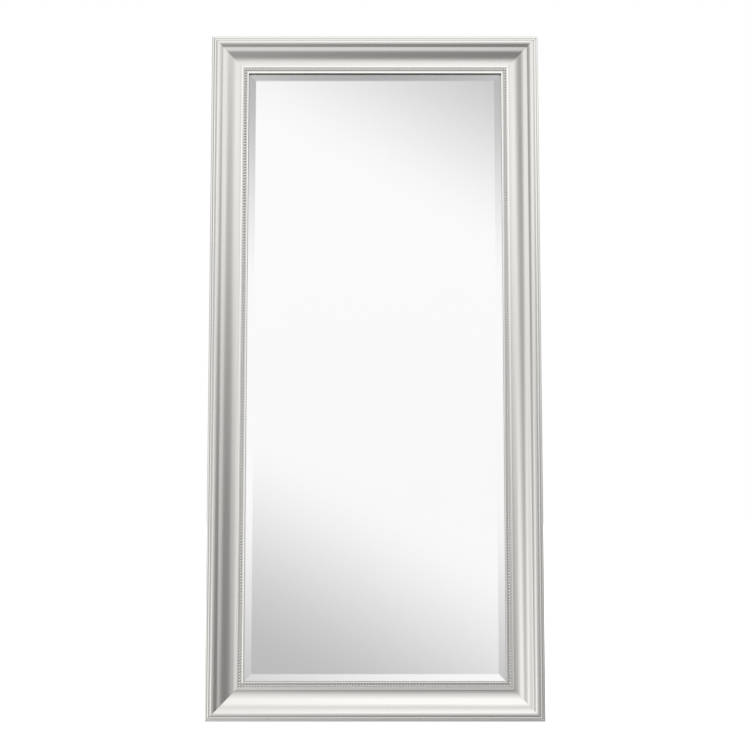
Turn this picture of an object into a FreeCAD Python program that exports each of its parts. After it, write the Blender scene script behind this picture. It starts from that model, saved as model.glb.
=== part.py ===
"""Leaning floor mirror: a mitred, moulded frame with a beaded sight edge round a bevelled mirror plate.

Millimetres, +Z up, standing upright. The front faces -Y, the wall side is +Y, and the origin is the
centre of the flat face that the bottom rail stands on. In use the mirror leans back by a few degrees.
"""
import FreeCAD, Part
import math
import os
import Sketcher

Vector = FreeCAD.Vector

SIZES = (
    # The frame as a whole.
    ("frame_width", 812.8, "outside width of the frame"),
    ("frame_height", 1676.4, "outside height of the frame"),
    # The moulding, member by member from the outer edge to the sight edge. Each "width" runs inwards,
    # each "rise" and "drop" runs forwards and back, and each "bulge" is the height of an arc.
    ("side_depth", 29.0, "flat outer side of the rail, which the mirror stands on"),
    ("edge_round", 3.0, "radius of the rounded front edge of the side"),
    ("step_width", 1.5, "flat step behind the quirk"),
    ("quirk_flank", 0.75, "width of each flank of the quirk"),
    ("quirk_depth", 1.0, "depth of the quirk"),
    ("reed_width", 4.5, "small reed"),
    ("reed_rise", 1.5, "height that the reed gains"),
    ("reed_bulge", 1.2, "height of the reed's arc"),
    ("riser_width", 2.8, "steep outer side of the torus"),
    ("riser_rise", 5.2, "height of the riser"),
    ("crest_width", 2.2, "rounded top of the riser"),
    ("crest_rise", 1.3, "height of the rounded top"),
    ("crest_bulge", 0.35, "height of its arc"),
    ("slope_width", 9.5, "falling side of the torus"),
    ("slope_drop", 2.9, "height that it loses"),
    ("slope_bulge", 0.74, "height of its arc"),
    ("hollow_width", 6.0, "shallow hollow below the torus"),
    ("hollow_drop", 2.5, "height that the hollow loses"),
    ("hollow_bulge", 0.32, "depth of the hollow's arc"),
    ("shoulder_width", 5.0, "flat shoulder"),
    ("shoulder_drop", 1.0, "height that the shoulder loses"),
    ("roll_width", 10.0, "rounded edge where the shoulder falls into the cove"),
    ("roll_drop", 3.9, "height that it loses"),
    ("roll_bulge", 0.47, "height of its arc"),
    ("cove_width", 27.5, "wide cove"),
    ("cove_drop", 5.9, "height that the cove loses"),
    ("cove_bulge", 2.38, "depth of the cove's arc"),
    ("fillet_rise", 0.8, "step up to the fillet"),
    ("fillet_width", 4.0, "flat fillet outside the beads"),
    ("channel_drop", 3.6, "from the fillet down to the floor of the bead channel"),
    ("channel_width", 10.4, "channel that the beaded strip is glued into"),
    ("lip_rise", 2.2, "from the channel floor up to the lip"),
    ("lip_width", 4.1, "rounded lip at the sight edge"),
    ("lip_drop", 0.6, "height that the lip loses towards the mirror"),
    ("lip_bulge", 1.3, "height of the lip's arc"),
    ("rabbet_width", 9.0, "width of the rabbet behind the lip"),
    # The beaded strips.
    ("strip_gap", 0.1, "play of a beaded strip on each side of its channel"),
    ("strip_base", 1.0, "thickness of the strip under the beads"),
    ("bead_width", 6.4, "width of a bead at its foot"),
    ("bead_slope", 1.5, "width of a bead's sloping side"),
    ("bead_height", 3.2, "height of a bead above the strip"),
    ("bead_pitch", 7.03, "aimed distance from bead to bead"),
    ("notch_width", 3.4, "mouth of the notch between two beads"),
    # The stack in the rabbet, from the back.
    ("board_recess", 8.0, "from the back of the frame in to the board"),
    ("board_thickness", 3.0, "backing board"),
    ("card_thickness", 2.0, "corrugated card sheet"),
    ("glass_thickness", 5.0, "mirror plate"),
    ("plate_gap", 1.0, "play round the plate, card and board in the rabbet"),
    ("seat_gap", 0.2, "play between the bevel and the edge of the lip"),
    ("bevel_width", 25.0, "width of the bevel on the mirror plate"),
    ("bevel_drop", 2.2, "depth of the bevel at the edge of the plate"),
    # Wood screws.
    ("screw_head_radius", 3.5, "pan head"),
    ("screw_head_height", 2.0, "height of the head over its plate"),
    ("screw_root_radius", 1.75, "shank under the head"),
    ("screw_point_radius", 0.5, "blunt end of the shank"),
    ("screw_length", 14.0, "from under the head to the end"),
    ("hole_play", 0.2, "play round a screw in its plate"),
    # Offset clips that hold the board.
    ("clip_width", 12.0, "offset clip"),
    ("clip_thickness", 1.5, "sheet that the clip is bent from"),
    ("clip_seat", 14.0, "leg of the clip on the rail"),
    ("clip_foot", 12.0, "foot of the clip on the board"),
    ("clip_end_margin", 200.0, "from the end of a stile to its first clip"),
    # Corner braces and V-nails.
    ("brace_inset", 30.0, "from the outer edges of the frame to the brace"),
    ("brace_leg", 80.0, "length of each leg of the brace"),
    ("brace_width", 16.0, "width of a leg"),
    ("brace_thickness", 1.6, "sheet that the brace is cut from"),
    ("brace_first_hole", 32.0, "from the brace's corner to the first hole of a leg"),
    ("brace_hole_pitch", 36.0, "from the first hole to the second"),
    ("nail_leg", 8.0, "leg of a V-nail"),
    ("nail_thickness", 0.8, "sheet that the V-nail is bent from"),
    ("nail_depth", 10.0, "depth that the V-nail is driven in"),
    ("outer_nail", 26.0, "from the frame's edges to the outer V-nail"),
    ("inner_nail", 62.0, "from the frame's edges to the inner V-nail"),
    # Hangers: a strap with a curled eye, and a D-ring that swings in it.
    ("strap_width", 18.0, "hanger strap and its eye"),
    ("strap_thickness", 1.5, "sheet that the strap is bent from"),
    ("strap_length", 50.0, "from the ring's axis to the end of the strap"),
    ("strap_corner", 3.0, "cut across each of the strap's free corners"),
    ("strap_first_hole", 27.0, "from the ring's axis to the first hole"),
    ("strap_hole_pitch", 14.0, "from the first hole to the second"),
    ("wire_radius", 1.5, "wire that the ring is bent from"),
    ("wire_play", 0.3, "play between the wire and the eye"),
    ("ring_play", 1.5, "play between the eye and each leg of the ring"),
    ("ring_bend", 2.5, "radius of the bends at the ring's bar"),
    ("ring_leg", 7.0, "from the ring's axis to the start of its bow"),
    ("upright_hanger_drop", 250.0, "from the top of the frame to the upright hangers"),
    ("sideways_hanger_inset", 400.0, "from the ends of the stile to the sideways hangers"),
    ("sideways_hanger_edge", 22.0, "from the outer edge to the axis of a sideways hanger"),
    # Wall bumpers.
    ("bumper_inset", 13.0, "from the outer edges of the frame to the middle of a bumper"),
    ("bumper_radius", 8.0, "radius of the bumper"),
    ("bumper_height", 8.0, "height of the bumper"),
)

CLIPS_PER_STILE = 3
# Height of an arc over its chord, as a share of the radius.
QUARTER_ARC = 1 - math.sqrt(0.5)
THREE_QUARTER_ARC = 1 + math.sqrt(0.5)
# Screws, their holes and the ring's wire are drawn with this many flat sides.
SIDES_OF_ROUND = 8
# Straight lengths in a bend of the ring's wire through a right angle.
CHORDS_OF_BEND = 2
CHORDS_OF_HALF_BOW = 4
# Cuts reach past the solid by this much, so that no faces coincide.
OVERCUT = 5.0
# A turn about Y, which carries a piece drawn for the bottom rail to another side of the frame.
SINE = {0: 0, 90: 1, 180: 0, -90: -1}
COSINE = {0: 1, 90: 0, 180: -1, -90: 0}

doc = FreeCAD.newDocument("leaning_mirror")
sheet = doc.addObject("Spreadsheet::Sheet", "Sizes")
nodes = []


class Size:
    """A length that knows its present value and the formula that binds it to the sheet."""

    def __init__(self, value, text):
        self.value = value
        self.text = text

    def __add__(self, other):
        other = as_size(other)
        return Size(self.value + other.value, f"({self.text} + {other.text})")

    def __sub__(self, other):
        other = as_size(other)
        return Size(self.value - other.value, f"({self.text} - {other.text})")

    def __mul__(self, other):
        other = as_size(other)
        return Size(self.value * other.value, f"({self.text} * {other.text})")

    def __truediv__(self, other):
        other = as_size(other)
        return Size(self.value / other.value, f"({self.text} / {other.text})")

    def __neg__(self):
        return Size(-self.value, f"(0 - {self.text})")


def as_size(length):
    return length if isinstance(length, Size) else Size(float(length), repr(float(length)))


def whole(size):
    """The nearest whole number, at least one."""
    return Size(max(1, round(size.value)), f"max(1; round({size.text}))")


NOTHING = as_size(0)

for row, (alias, number, note) in enumerate(SIZES, start=1):
    sheet.set(f"A{row}", note)
    sheet.set(f"B{row}", str(number))
    sheet.setAlias(f"B{row}", alias)
doc.recompute()
size = {alias: Size(float(sheet.get(alias)), f"Sizes.{alias}") for alias, _, _ in SIZES}

derived = doc.addObject("App::VarSet", "Derived")


def derive(name, formula):
    """Keep a worked-out length in the document under a name of its own."""
    derived.addProperty("App::PropertyFloat", name, "Lengths")
    derived.setExpression(name, formula.text)
    return Size(formula.value, f"Derived.{name}")


half_width = derive("half_width", size["frame_width"] / 2)
half_height = derive("half_height", size["frame_height"] / 2)
back_plane = derive("back_plane", size["side_depth"] / 2)
face_width = derive("face_width", (
    size["edge_round"] + size["step_width"] + size["quirk_flank"] * 2 + size["reed_width"]
    + size["riser_width"] + size["crest_width"] + size["slope_width"] + size["hollow_width"]
    + size["shoulder_width"] + size["roll_width"] + size["cove_width"] + size["fillet_width"]
    + size["channel_width"] + size["lip_width"]))
channel_floor = derive("channel_floor", (
    size["side_depth"] + size["edge_round"] + size["reed_rise"] + size["riser_rise"]
    + size["crest_rise"] - size["slope_drop"] - size["hollow_drop"] - size["shoulder_drop"]
    - size["roll_drop"] - size["cove_drop"] + size["fillet_rise"] - size["channel_drop"]))
rabbet_edge = derive("rabbet_edge", face_width - size["rabbet_width"])
board_back = derive("board_back", size["board_recess"])
card_back = derive("card_back", board_back + size["board_thickness"])
glass_back = derive("glass_back", card_back + size["card_thickness"])
glass_front = derive("glass_front", glass_back + size["glass_thickness"])
# The bevel passes under the lip, so the lip meets the plate below the level of its flat face.
bevel_shown = derive("bevel_shown", size["bevel_width"] - size["rabbet_width"] + size["plate_gap"])
rabbet_floor = derive("rabbet_floor", (
    glass_front - size["bevel_drop"] * bevel_shown / size["bevel_width"] + size["seat_gap"]))
bead_line = derive("bead_line", face_width - size["lip_width"] - size["channel_width"] / 2)
bead_foot = derive("bead_foot", channel_floor + size["strip_base"])
strip_width = derive("strip_width", size["channel_width"] - size["strip_gap"] * 2)
plate_width = derive("plate_width", size["frame_width"] - (rabbet_edge + size["plate_gap"]) * 2)
plate_height = derive("plate_height", size["frame_height"] - (rabbet_edge + size["plate_gap"]) * 2)
# The eye lies on the rail, so its outer radius is also the height of the ring's axis.
eye_bore = derive("eye_bore", size["wire_radius"] + size["wire_play"])
eye_radius = derive("eye_radius", eye_bore + size["strap_thickness"])
ring_half_width = derive("ring_half_width", (
    size["strap_width"] / 2 + size["ring_play"] + size["wire_radius"]))


# --- sketches -------------------------------------------------------------------------------------

def add_sketch(body, name, role, offset=NOTHING):
    """A sketch on one of the body's own origin planes, moved along the plane's normal by offset."""
    plane = next(feature for feature in body.Origin.OriginFeatures if feature.Role == role)
    sketch = body.newObject("Sketcher::SketchObject", name)
    sketch.AttachmentSupport = [(plane, "")]
    sketch.MapMode = "FlatFace"
    if offset is not NOTHING:
        sketch.setExpression("AttachmentOffset.Base.z", offset.text)
    return sketch


def bind(sketch, kind, *places, length):
    index = sketch.addConstraint(Sketcher.Constraint(kind, *places, length.value))
    sketch.setExpression(f"Constraints[{index}]", length.text)


def span(sketch, first, second, across, up):
    """Hold the second point at a distance from the first, along both axes of the sketch."""
    for length, kind, flat in ((across, "DistanceX", "Vertical"), (up, "DistanceY", "Horizontal")):
        if length.value > 0:
            bind(sketch, kind, *first, *second, length=length)
        elif length.value < 0:
            bind(sketch, kind, *second, *first, length=-length)
        else:
            sketch.addConstraint(Sketcher.Constraint(flat, *first, *second))


def arc_over(start, end, bulge):
    """The arc from start to end that stands over its chord by bulge, to the left of the way."""
    chord = end - start
    left = Vector(-chord.y, chord.x, 0).normalize()
    return Part.Arc(start, (start + end) / 2 + left * bulge, end)


def draw_outline(sketch, start, steps):
    """A closed outline. Each step is (across, up) for a line or (across, up, bulge) for an arc.

    The last line, back to the start, is added by itself.
    """
    origin = (-1, 1)
    here = Vector(start[0].value, start[1].value, 0)
    first_point = here
    first_place = None
    last_place = None
    for step in steps:
        across, up = as_size(step[0]), as_size(step[1])
        there = here + Vector(across.value, up.value, 0)
        if len(step) == 3:
            bulge = as_size(step[2])
            edge = sketch.addGeometry(arc_over(here, there, bulge.value), False)
        else:
            edge = sketch.addGeometry(Part.LineSegment(here, there), False)
        # An arc is always kept anticlockwise, so its ends may have changed places.
        begins = 1 if (sketch.getPoint(edge, 1) - here).Length < 1e-6 else 2
        begin, end = (edge, begins), (edge, 3 - begins)
        if last_place is None:
            first_place = begin
            span(sketch, origin, begin, as_size(start[0]), as_size(start[1]))
        else:
            sketch.addConstraint(Sketcher.Constraint("Coincident", *last_place, *begin))
        span(sketch, begin, end, across, up)
        if len(step) == 3:
            height = bulge if bulge.value > 0 else -bulge
            radius = (across * across + up * up) / (height * 8) + height / 2
            bind(sketch, "Radius", edge, length=radius)
        last_place = end
        here = there
    closing = sketch.addGeometry(Part.LineSegment(here, first_point), False)
    sketch.addConstraint(Sketcher.Constraint("Coincident", *last_place, closing, 1))
    sketch.addConstraint(Sketcher.Constraint("Coincident", closing, 2, *first_place))


def draw_section(sketch, start, steps):
    """An outline across a rail: each place and step is given as (inwards, forwards from the back)."""
    def turned(inwards, forwards):
        return -as_size(forwards), as_size(inwards)

    inwards, forwards = start
    placed = (back_plane - forwards, as_size(inwards))
    draw_outline(sketch, placed, [turned(*step[:2]) + tuple(step[2:]) for step in steps])


def chords(radius, start_angle, turn, count):
    """Straight steps that follow an arc of the given radius, which starts on the bearing start_angle."""
    angles = [start_angle + turn * number / count for number in range(count + 1)]
    return [(radius * (math.cos(there) - math.cos(here)), radius * (math.sin(there) - math.sin(here)))
            for here, there in zip(angles, angles[1:])]


def draw_polygon(sketch, across, up, radius):
    """A regular polygon, with its corners on a circle."""
    first = math.pi / SIDES_OF_ROUND
    start = (radius * math.cos(first) + across, radius * math.sin(first) + up)
    draw_outline(sketch, start, chords(radius, first, 2 * math.pi, SIDES_OF_ROUND)[:-1])


# --- features -------------------------------------------------------------------------------------

def new_body(label):
    body = doc.addObject("PartDesign::Body", label)
    body.Label = label
    return body


def pad(body, sketch, length, both_ways=False, backwards=False):
    feature = body.newObject("PartDesign::Pad", "Pad")
    feature.Profile = sketch
    feature.SideType = "Symmetric" if both_ways else "One side"
    feature.Reversed = backwards
    feature.setExpression("Length", length.text)
    body.Tip = feature
    return feature


def cut_through(body, sketch):
    feature = body.newObject("PartDesign::Pocket", "Pocket")
    feature.Profile = sketch
    feature.SideType = "Symmetric"
    feature.Type = "ThroughAll"
    body.Tip = feature
    return feature


def cut_mitres(body, length):
    """Cut both ends of a length of moulding at 45 degrees, from the outer edge inwards."""
    sketch = add_sketch(body, "Mitres", "XZ_Plane")
    leg = face_width + 2 * OVERCUT
    draw_outline(sketch, (-length / 2 - OVERCUT, as_size(-OVERCUT)), [(leg, leg), (-leg, NOTHING)])
    draw_outline(sketch, (length / 2 + OVERCUT, as_size(-OVERCUT)), [(NOTHING, leg), (-leg, NOTHING)])
    cut_through(body, sketch)


def drill_screw_holes(body, places):
    """Clearance holes for screws, through a sheet-metal piece on the back of the frame."""
    sketch = add_sketch(body, "Screw_holes", "XZ_Plane")
    for across, up in places:
        draw_polygon(sketch, across, up, size["screw_root_radius"] + size["hole_play"])
    cut_through(body, sketch)


# --- where things go ------------------------------------------------------------------------------

class Spot:
    """A place in the plane of the frame, and the turn about Y of what is put there."""

    def __init__(self, across, up, turn):
        self.across = as_size(across)
        self.up = as_size(up)
        self.turn = turn

    def moved(self, along, inwards):
        """The spot that lies so far along this one's own X and Z."""
        cosine, sine = COSINE[self.turn], SINE[self.turn]
        across, up = self.across, self.up
        for length, right, rise in ((as_size(along), cosine, -sine), (as_size(inwards), sine, cosine)):
            if right:
                across = across + length * right
            if rise:
                up = up + length * rise
        return Spot(across, up, self.turn)


# A side's own X runs along the rail from its middle, a corner's along one of its two rails, and
# Z runs inwards.
SIDES = {
    "bottom": Spot(NOTHING, NOTHING, 0),
    "left": Spot(-half_width, half_height, 90),
    "top": Spot(NOTHING, size["frame_height"], 180),
    "right": Spot(half_width, half_height, -90),
}
CORNERS = {
    "bottom_left": Spot(-half_width, NOTHING, 0),
    "top_left": Spot(-half_width, size["frame_height"], 90),
    "top_right": Spot(half_width, size["frame_height"], 180),
    "bottom_right": Spot(half_width, NOTHING, -90),
}
LENGTHS = {
    "bottom": size["frame_width"],
    "left": size["frame_height"],
    "top": size["frame_width"],
    "right": size["frame_height"],
}


def put(piece, spot, back=NOTHING):
    """Place a piece at a spot, at the given distance along Y."""
    piece.Placement = FreeCAD.Placement(Vector(spot.across.value, back.value, spot.up.value),
                                        FreeCAD.Rotation(Vector(0, 1, 0), spot.turn))
    for axis, length in (("x", spot.across), ("y", back), ("z", spot.up)):
        piece.setExpression(f"Placement.Base.{axis}", length.text)


def make_group(label, pattern, spots, back=NOTHING):
    """One node of identical separate solids: copies of the pattern piece at each spot."""
    copies = []
    for spot in spots:
        copy = doc.addObject("App::Link", f"{label}_copy")
        copy.LinkedObject = pattern
        put(copy, spot, back)
        copies.append(copy)
    group = doc.addObject("Part::Compound", label)
    group.Label = label
    group.Links = copies
    nodes.append(group)


# --- frame ----------------------------------------------------------------------------------------

def make_rail(side):
    """One mitred length of the moulding, drawn as the bottom rail and turned to its side."""
    body = new_body(f"frame_{side}")
    section = add_sketch(body, "Moulding", "YZ_Plane")
    quirk_flank, quirk_depth = size["quirk_flank"], size["quirk_depth"]
    lip_end = channel_floor + size["lip_rise"] - size["lip_drop"]
    draw_section(section, (NOTHING, NOTHING), [
        (0, size["side_depth"]),
        (size["edge_round"], size["edge_round"], size["edge_round"] * QUARTER_ARC),
        (size["step_width"], 0),
        (quirk_flank, -quirk_depth),
        (quirk_flank, quirk_depth),
        (size["reed_width"], size["reed_rise"], size["reed_bulge"]),
        (size["riser_width"], size["riser_rise"]),
        (size["crest_width"], size["crest_rise"], size["crest_bulge"]),
        (size["slope_width"], -size["slope_drop"], size["slope_bulge"]),
        (size["hollow_width"], -size["hollow_drop"], -size["hollow_bulge"]),
        (size["shoulder_width"], -size["shoulder_drop"]),
        (size["roll_width"], -size["roll_drop"], size["roll_bulge"]),
        (size["cove_width"], -size["cove_drop"], -size["cove_bulge"]),
        (0, size["fillet_rise"]),
        (size["fillet_width"], 0),
        (0, -size["channel_drop"]),
        (size["channel_width"], 0),
        (0, size["lip_rise"]),
        (size["lip_width"], -size["lip_drop"], size["lip_bulge"]),
        (0, rabbet_floor - lip_end),
        (-size["rabbet_width"], 0),
        (0, -rabbet_floor),
    ])
    pad(body, section, LENGTHS[side], both_ways=True)
    cut_mitres(body, LENGTHS[side])
    put(body, SIDES[side])
    nodes.append(body)


def make_bead_strip(side):
    """A strip of beads on a thin base, with a bead on the mitre at each end.

    The notches between the beads lie half a pitch from the mitre, and the pitch is fitted to a
    whole number of beads.
    """
    body = new_body(f"bead_strip_{side}")
    ledge = (strip_width - size["bead_width"]) / 2
    top = size["bead_width"] - size["bead_slope"] * 2
    section = add_sketch(body, "Strip", "YZ_Plane")
    draw_section(section, (bead_line - strip_width / 2, channel_floor), [
        (0, size["strip_base"]),
        (ledge, 0),
        (size["bead_slope"], size["bead_height"]),
        (top, 0),
        (size["bead_slope"], -size["bead_height"]),
        (ledge, 0),
        (0, -size["strip_base"]),
    ])
    pad(body, section, LENGTHS[side], both_ways=True)
    cut_mitres(body, LENGTHS[side])

    run = LENGTHS[side] - bead_line * 2
    count = whole(run / size["bead_pitch"])
    pitch = run / count
    notch = add_sketch(body, "Notch", "XY_Plane")
    # The notch is drawn at twice its real height, so that it comes out above the beads.
    height = size["bead_height"] * 2
    start = (pitch / 2 - run / 2, back_plane - bead_foot)
    draw_outline(notch, start, [(size["notch_width"], -height), (-size["notch_width"] * 2, 0)])
    first_notch = cut_through(body, notch)
    doc.recompute()
    notches = body.newObject("PartDesign::LinearPattern", "Notches")
    notches.Originals = [first_notch]
    notches.Direction = (notch, ["H_Axis"])
    notches.Mode = "Extent"
    notches.setExpression("Length", (run - pitch).text)
    notches.setExpression("Occurrences", count.text)
    body.Tip = notches
    put(body, SIDES[side])
    nodes.append(body)


# --- mirror plate and what backs it ---------------------------------------------------------------

def make_plate(label, back, thickness):
    """A flat rectangle in the rabbet, with its back face at the given depth."""
    body = new_body(label)
    face = add_sketch(body, "Face", "XZ_Plane", offset=back - back_plane)
    draw_outline(face, (-plate_width / 2, half_height - plate_height / 2), [
        (plate_width, 0), (0, plate_height), (-plate_width, 0)])
    pad(body, face, thickness)
    nodes.append(body)
    return body


def make_mirror_glass():
    body = make_plate("mirror_glass", glass_back, size["glass_thickness"])
    doc.recompute()
    plate = body.Tip
    front = (back_plane - glass_front).value
    edges = [f"Edge{number}" for number, edge in enumerate(plate.Shape.Edges, start=1)
             if all(abs(vertex.Y - front) < 1e-6 for vertex in edge.Vertexes)]
    bevel = body.newObject("PartDesign::Chamfer", "Bevel")
    bevel.Base = (plate, edges)
    bevel.ChamferType = "Two distances"
    bevel.setExpression("Size", size["bevel_drop"].text)
    bevel.setExpression("Size2", size["bevel_width"].text)
    body.Tip = bevel


# --- screws and sheet-metal pieces ----------------------------------------------------------------

def make_screw():
    """A pan-headed wood screw: its head sits on the plane Y = 0 and its shank points along -Y."""
    body = new_body("wood_screw")
    head = add_sketch(body, "Head", "XZ_Plane")
    draw_polygon(head, NOTHING, NOTHING, size["screw_head_radius"])
    pad(body, head, size["screw_head_height"], backwards=True)
    root = add_sketch(body, "Root", "XZ_Plane")
    draw_polygon(root, NOTHING, NOTHING, size["screw_root_radius"])
    point = add_sketch(body, "Point", "XZ_Plane", offset=size["screw_length"])
    draw_polygon(point, NOTHING, NOTHING, size["screw_point_radius"])
    shank = body.newObject("PartDesign::AdditiveLoft", "Shank")
    shank.Profile = root
    shank.Sections = [point]
    shank.Ruled = True
    body.Tip = shank
    return body


def make_clip():
    """An offset clip, in the same place across the rail as on the bottom rail."""
    body = new_body("offset_clip")
    thickness = size["clip_thickness"]
    section = add_sketch(body, "Bent_strip", "YZ_Plane")
    drop = board_back
    web = rabbet_edge + size["plate_gap"]
    seat_start = rabbet_edge - size["clip_seat"]
    draw_section(section, (seat_start, NOTHING), [
        (0, -thickness),
        (web + thickness - seat_start, 0),
        (0, drop),
        (size["clip_foot"], 0),
        (0, thickness),
        (-(size["clip_foot"] + thickness), 0),
        (0, -drop),
    ])
    pad(body, section, size["clip_width"], both_ways=True)
    drill_screw_holes(body, [(NOTHING, clip_screw_line())])
    return body


def clip_screw_line():
    return rabbet_edge - size["clip_seat"] / 2


def make_brace(corner):
    """A flat L of sheet steel across the mitre, with two screws in each leg."""
    body = new_body(f"corner_brace_{corner}")
    inset, leg, width = size["brace_inset"], size["brace_leg"], size["brace_width"]
    outline = add_sketch(body, "Outline", "XZ_Plane")
    draw_outline(outline, (inset, inset), [
        (leg, 0), (0, width), (width - leg, 0), (0, leg - width), (-width, 0)])
    pad(body, outline, size["brace_thickness"], backwards=True)
    drill_screw_holes(body, brace_screw_places())
    put(body, CORNERS[corner], back_plane)
    nodes.append(body)


def brace_screw_places():
    line = size["brace_inset"] + size["brace_width"] / 2
    first = size["brace_inset"] + size["brace_first_hole"]
    second = first + size["brace_hole_pitch"]
    return [(first, line), (second, line), (line, first), (line, second)]


def make_v_nail():
    """A V-nail, with its point towards the mirror and its two legs in the two rails."""
    body = new_body("v_nail")
    leg, thickness = size["nail_leg"], size["nail_thickness"]
    outline = add_sketch(body, "Outline", "XZ_Plane")
    draw_outline(outline, (NOTHING, NOTHING), [
        (-leg, 0), (0, -thickness), (leg - thickness, 0), (0, thickness - leg), (thickness, 0)])
    pad(body, outline, size["nail_depth"])
    return body


# --- hangers --------------------------------------------------------------------------------------

def make_strap(name, spot):
    """A strap with a curled eye: the ring's axis is along X, and the strap runs down from it."""
    body = new_body(f"hanger_strap_{name}")
    side = add_sketch(body, "Side", "YZ_Plane")
    draw_outline(side, (NOTHING, -size["strap_length"]), [
        (0, size["strap_length"]),
        (eye_radius, -eye_radius, eye_radius * THREE_QUARTER_ARC),
        (0, size["strap_thickness"]),
        (-eye_bore, eye_bore, -eye_bore * THREE_QUARTER_ARC),
        (0, -size["strap_length"]),
    ])
    pad(body, side, size["strap_width"], both_ways=True)
    drill_screw_holes(body, [(NOTHING, -place) for place in strap_screw_places()])
    doc.recompute()
    strip = body.Tip
    end = -size["strap_length"].value
    corners = [f"Edge{number}" for number, edge in enumerate(strip.Shape.Edges, start=1)
               if all(abs(vertex.Z - end) < 1e-6 for vertex in edge.Vertexes)
               and abs(edge.Vertexes[0].X - edge.Vertexes[-1].X) < 1e-6]
    bevel = body.newObject("PartDesign::Chamfer", "Cut_corners")
    bevel.Base = (strip, corners)
    bevel.setExpression("Size", size["strap_corner"].text)
    body.Tip = bevel
    put(body, spot, back_plane)
    nodes.append(body)


def strap_screw_places():
    first = size["strap_first_hole"]
    return [first, first + size["strap_hole_pitch"]]


def make_ring(name, spot):
    """A D-ring of round wire: its bar lies in the eye and its bow hangs down over the strap."""
    body = new_body(f"hanger_ring_{name}")
    bend, leg = size["ring_bend"], size["ring_leg"]
    bar = ring_half_width - bend
    right_angle = math.pi / 2
    path = add_sketch(body, "Path", "XZ_Plane", offset=-eye_radius)
    draw_outline(path, (NOTHING, NOTHING), [
        (bar, 0),
        *chords(bend, right_angle, -right_angle, CHORDS_OF_BEND),
        (0, bend - leg),
        *chords(ring_half_width, 0, -2 * right_angle, 2 * CHORDS_OF_HALF_BOW),
        (0, leg - bend),
        *chords(bend, 2 * right_angle, -right_angle, CHORDS_OF_BEND),
    ])
    section = add_sketch(body, "Wire", "YZ_Plane")
    draw_polygon(section, eye_radius, NOTHING, size["wire_radius"])
    pipe = body.newObject("PartDesign::AdditivePipe", "Bent_wire")
    pipe.Profile = section
    pipe.Spine = path
    pipe.Transition = "Right corner"
    body.Tip = pipe
    put(body, spot, back_plane)
    nodes.append(body)


# --- bumpers --------------------------------------------------------------------------------------

def make_bumper():
    body = new_body("bumper")
    foot = add_sketch(body, "Foot", "XZ_Plane")
    circle = foot.addGeometry(Part.Circle(Vector(), Vector(0, 0, 1), size["bumper_radius"].value))
    foot.addConstraint(Sketcher.Constraint("Coincident", circle, 3, -1, 1))
    bind(foot, "Radius", circle, length=size["bumper_radius"])
    pad(body, foot, size["bumper_height"], backwards=True)
    return body


# --- the whole mirror -----------------------------------------------------------------------------

for side_name in SIDES:
    make_rail(side_name)
for side_name in SIDES:
    make_bead_strip(side_name)

make_mirror_glass()
make_plate("card_sheet", card_back, size["card_thickness"])
make_plate("backing_board", board_back, size["board_thickness"])

wood_screw = make_screw()

stile_reach = half_height - size["clip_end_margin"]
clip_pitch = stile_reach * 2 / (CLIPS_PER_STILE - 1)
stile_places = [clip_pitch * number - stile_reach for number in range(CLIPS_PER_STILE)]
clip_spots = [SIDES["bottom"], SIDES["top"]]
clip_spots += [SIDES[side_name].moved(place, NOTHING) for side_name in ("left", "right")
               for place in stile_places]
make_group("offset_clips", make_clip(), clip_spots)
make_group("clip_screws", wood_screw, [spot.moved(NOTHING, clip_screw_line()) for spot in clip_spots],
           back_plane + size["clip_thickness"])

for corner_name in CORNERS:
    make_brace(corner_name)
make_group("brace_screws", wood_screw,
           [spot.moved(*place) for spot in CORNERS.values() for place in brace_screw_places()],
           back_plane + size["brace_thickness"])
make_group("v_nails", make_v_nail(),
           [spot.moved(place, place) for spot in CORNERS.values()
            for place in (size["outer_nail"], size["inner_nail"])],
           back_plane)

# Two hangers hold the mirror upright, and two on one stile hold it on its side.
rail_middle = rabbet_edge / 2
upright_height = size["frame_height"] - size["upright_hanger_drop"]
sideways_edge = size["sideways_hanger_edge"] - half_width
HANGERS = {
    "upright_left": Spot(rail_middle - half_width, upright_height, 0),
    "upright_right": Spot(half_width - rail_middle, upright_height, 0),
    "sideways_low": Spot(sideways_edge, size["sideways_hanger_inset"], -90),
    "sideways_high": Spot(sideways_edge, size["frame_height"] - size["sideways_hanger_inset"], -90),
}
for hanger_name, hanger_spot in HANGERS.items():
    make_strap(hanger_name, hanger_spot)
    make_ring(hanger_name, hanger_spot)
make_group("hanger_screws", wood_screw,
           [spot.moved(NOTHING, -place) for spot in HANGERS.values() for place in strap_screw_places()],
           back_plane + size["strap_thickness"])

make_group("wall_bumpers", make_bumper(),
           [spot.moved(size["bumper_inset"], size["bumper_inset"]) for spot in CORNERS.values()],
           back_plane)

doc.recompute()

for item in doc.Objects:
    if "Invalid" in item.State or "Error" in item.State:
        raise RuntimeError(f"{item.Label} did not build: {item.State}")
os.makedirs("parts", exist_ok=True)
for node in nodes:
    if node.Shape.isNull() or not node.Shape.isValid():
        raise RuntimeError(f"{node.Label} has no valid shape")
    node.Shape.exportStep(f"parts/{node.Label}.step")
    box = node.Shape.BoundBox
    print(f"{node.Label}: {len(node.Shape.Solids)} solid(s), {node.Shape.Volume / 1000:.2f} cm3, "
          f"x {box.XMin:.1f}..{box.XMax:.1f}, y {box.YMin:.2f}..{box.YMax:.2f}, "
          f"z {box.ZMin:.1f}..{box.ZMax:.1f}")
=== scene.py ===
"""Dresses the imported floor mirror: silver mouldings, pearl beading, a bevelled plate and its hardware."""

import math

import bmesh
import bpy
from mathutils import Matrix, Vector


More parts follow.
